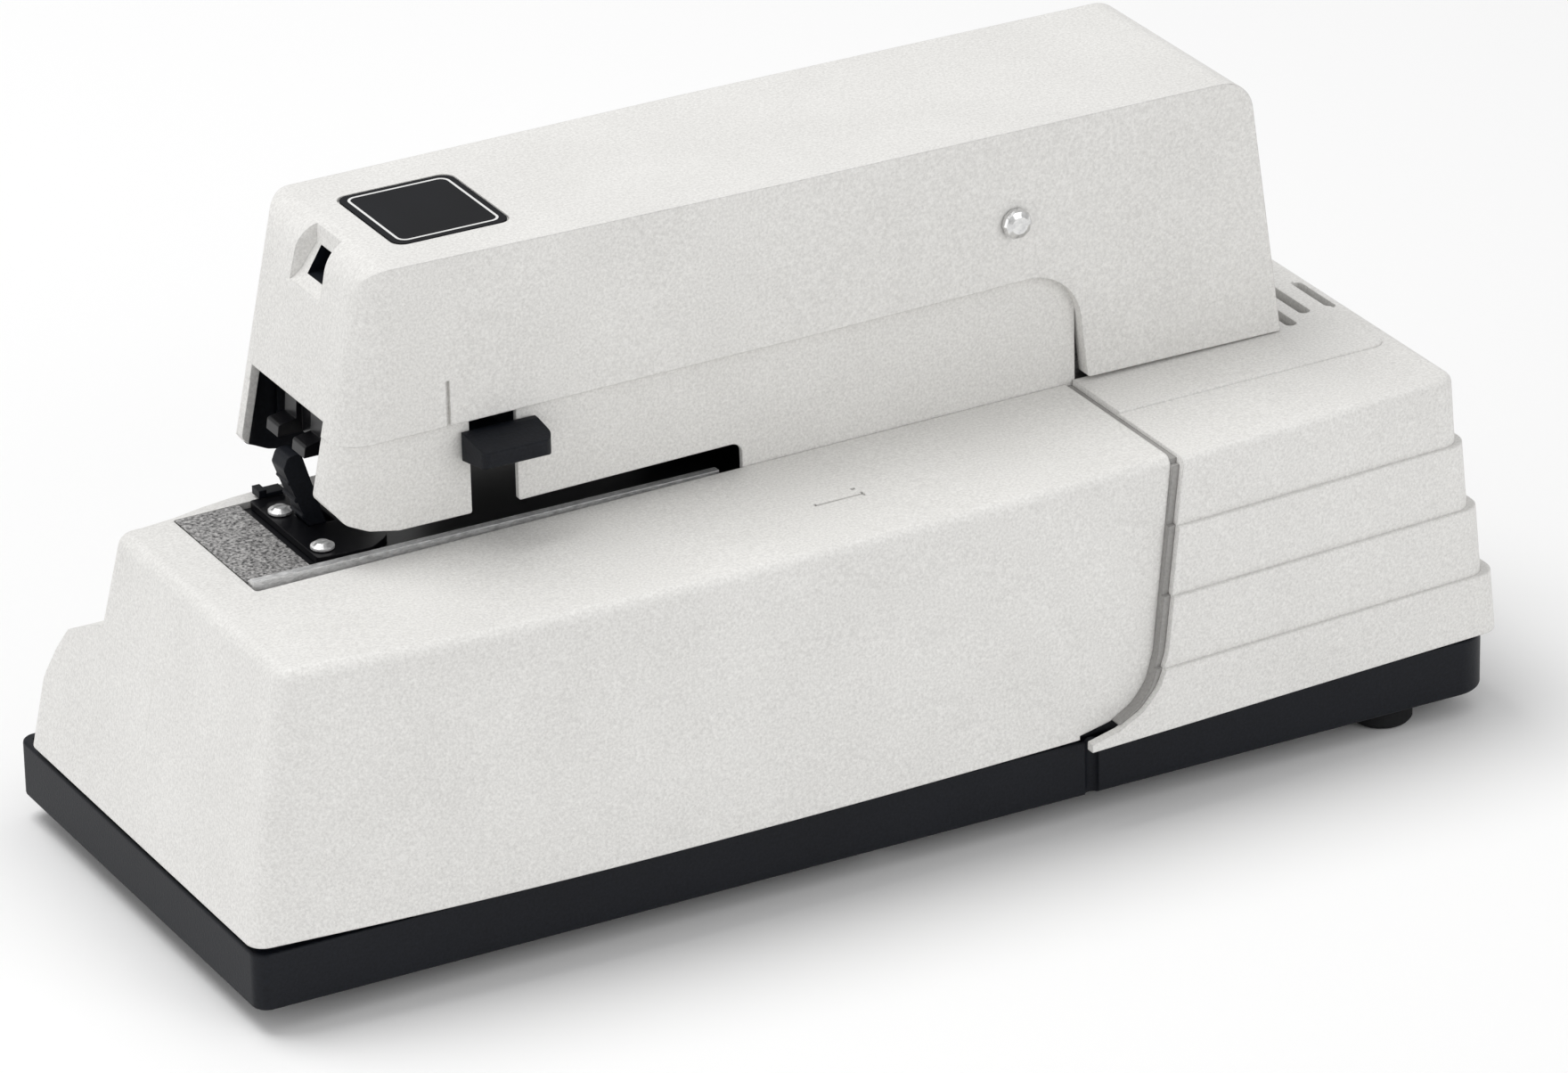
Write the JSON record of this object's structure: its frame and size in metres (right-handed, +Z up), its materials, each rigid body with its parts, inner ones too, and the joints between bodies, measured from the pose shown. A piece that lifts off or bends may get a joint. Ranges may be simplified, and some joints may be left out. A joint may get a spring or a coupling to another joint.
{
  "type": "electric stapler",
  "caption": "Desktop motor-driven stapler: long grey covered base on a black pan, with a hinged box-shaped arm that swings down over a steel table and anvil.",
  "frame": {"origin": "bottom centre of the bounding box, on the surface the feet stand on", "axes": "+X from the staple throat to the back, +Y from the near side to the far side, +Z up"},
  "size_m": [0.349, 0.1464, 0.1645],
  "materials": {
    "cover_grey": "fine textured warm light grey",
    "black_plastic": "fine textured near black",
    "black_steel": "smooth black coating",
    "foot_rubber": "matt black",
    "seal_grey": "matt mid grey",
    "bright_steel": "plain bright steel",
    "dark_steel": "speckled dark grey",
    "gear_brass": "machined",
    "board_green": "coated circuit board",
    "label_black": "plain black panel with a thin light border, no lettering"
  },
  "bodies": {
    "base": {"base_pan": "black_plastic", "foot_front_near": "foot_rubber", "foot_front_far": "foot_rubber", "foot_rear_near": "foot_rubber", "foot_rear_far": "foot_rubber", "base_screw_1": "bright_steel", "base_screw_2": "bright_steel", "base_screw_3": "bright_steel", "base_screw_4": "bright_steel", "base_screw_5": "bright_steel", "base_screw_6": "bright_steel", "front_cover": "cover_grey", "rear_cover": "cover_grey", "cover_seal_near": "seal_grey", "cover_seal_far": "seal_grey", "pivot_pin": "bright_steel", "pivot_clip": "bright_steel", "table_plate": "dark_steel", "guide_rail": "bright_steel", "bed_plate": "black_steel", "anvil_plate": "black_steel", "anvil_screw_1": "bright_steel", "anvil_screw_2": "bright_steel", "paper_stop_clip": "black_plastic", "trigger_pin": "bright_steel", "microswitch": "black_plastic", "base_frame": "bright_steel", "motor": "bright_steel", "reduction_shaft": "bright_steel", "circuit_board": "board_green", "capacitor": "black_plastic", "transformer": "dark_steel", "power_inlet": "black_plastic", "switch_frame": "black_plastic", "arm_spring": "bright_steel"},
    "arm": {"arm_housing": "cover_grey", "nose_guard": "black_plastic", "name_plate": "label_black", "arm_lever": "bright_steel", "driver_blade": "bright_steel", "driver_holder": "dark_steel", "magazine_pin": "bright_steel", "link_pin": "bright_steel"},
    "magazine": {"magazine_channel": "bright_steel", "magazine_nose": "black_steel", "staple_strip": "bright_steel", "pusher_rod": "bright_steel", "pusher_spring": "bright_steel"},
    "staple_pusher": {"pusher": "black_plastic"},
    "release": {"release_knob": "black_plastic"},
    "trigger": {"trigger_finger": "black_plastic"},
    "crank": {"crank_gear": "dark_steel", "crank_shaft": "bright_steel", "crank_pin": "bright_steel"},
    "reduction": {"reduction_gear": "dark_steel"},
    "pinion": {"motor_pinion": "gear_brass"},
    "link": {"drive_link": "bright_steel"},
    "rocker": {"power_rocker": "black_plastic"}
  },
  "joints": [
    {"name": "arm_swing", "type": "hinge", "parent": "base", "child": "arm", "pos_m": [0.06145, 0.01538, 0.1404], "axis": [0, -1, 0], "range_deg": [0, 3.8], "stiffness_Nm_per_rad": 6, "springref_deg": -11.46, "deforming": ["arm_spring"]},
    {"name": "magazine_hinge", "type": "hinge", "parent": "arm", "child": "magazine", "pos_m": [0.02245, 0.01538, 0.1155], "axis": [0, 1, 0], "range_deg": [0, 2]},
    {"name": "pusher_slide", "type": "slide", "parent": "magazine", "child": "staple_pusher", "axis": [1, 0, 0], "range_m": [0, 0.035], "stiffness_N_per_m": 20, "springref_m": -0.05, "deforming": ["pusher_spring"]},
    {"name": "release_press", "type": "slide", "parent": "arm", "child": "release", "axis": [0, 0, -1], "range_m": [0, 0.003], "stiffness_N_per_m": 400, "springref_m": -0.002},
    {"name": "trigger_swing", "type": "hinge", "parent": "base", "child": "trigger", "pos_m": [-0.11555, 0.01558, 0.076], "axis": [0, 1, 0], "range_deg": [0, 5], "stiffness_Nm_per_rad": 0.05, "springref_deg": -11.46},
    {"name": "crank_spin", "type": "hinge", "parent": "base", "child": "crank", "pos_m": [0.10145, 0.02218, 0.046], "axis": [0, 1, 0], "continuous": true},
    {"name": "reduction_spin", "type": "hinge", "parent": "base", "child": "reduction", "pos_m": [0.06395, 0.01318, 0.046], "axis": [0, 1, 0], "continuous": true},
    {"name": "pinion_spin", "type": "hinge", "parent": "base", "child": "pinion", "pos_m": [0.04253, -0.00382, 0.0538], "axis": [0, 1, 0], "continuous": true},
    {"name": "link_pivot", "type": "hinge", "parent": "arm", "child": "link", "pos_m": [0.11445, 0.01538, 0.146], "axis": [0, -1, 0], "range_deg": [-3.8, 0]},
    {"name": "power_rock", "type": "hinge", "parent": "base", "child": "rocker", "pos_m": [0.16755, 0.02568, 0.048], "axis": [0, 1, 0], "range_deg": [-4, 4]}
  ],
  "couplings": [
    {"joint": "reduction_spin", "follows": "crank_spin", "ratio": -4},
    {"joint": "pinion_spin", "follows": "crank_spin", "ratio": 15},
    {"joint": "link_pivot", "follows": "arm_swing", "ratio": -1}
  ]
}
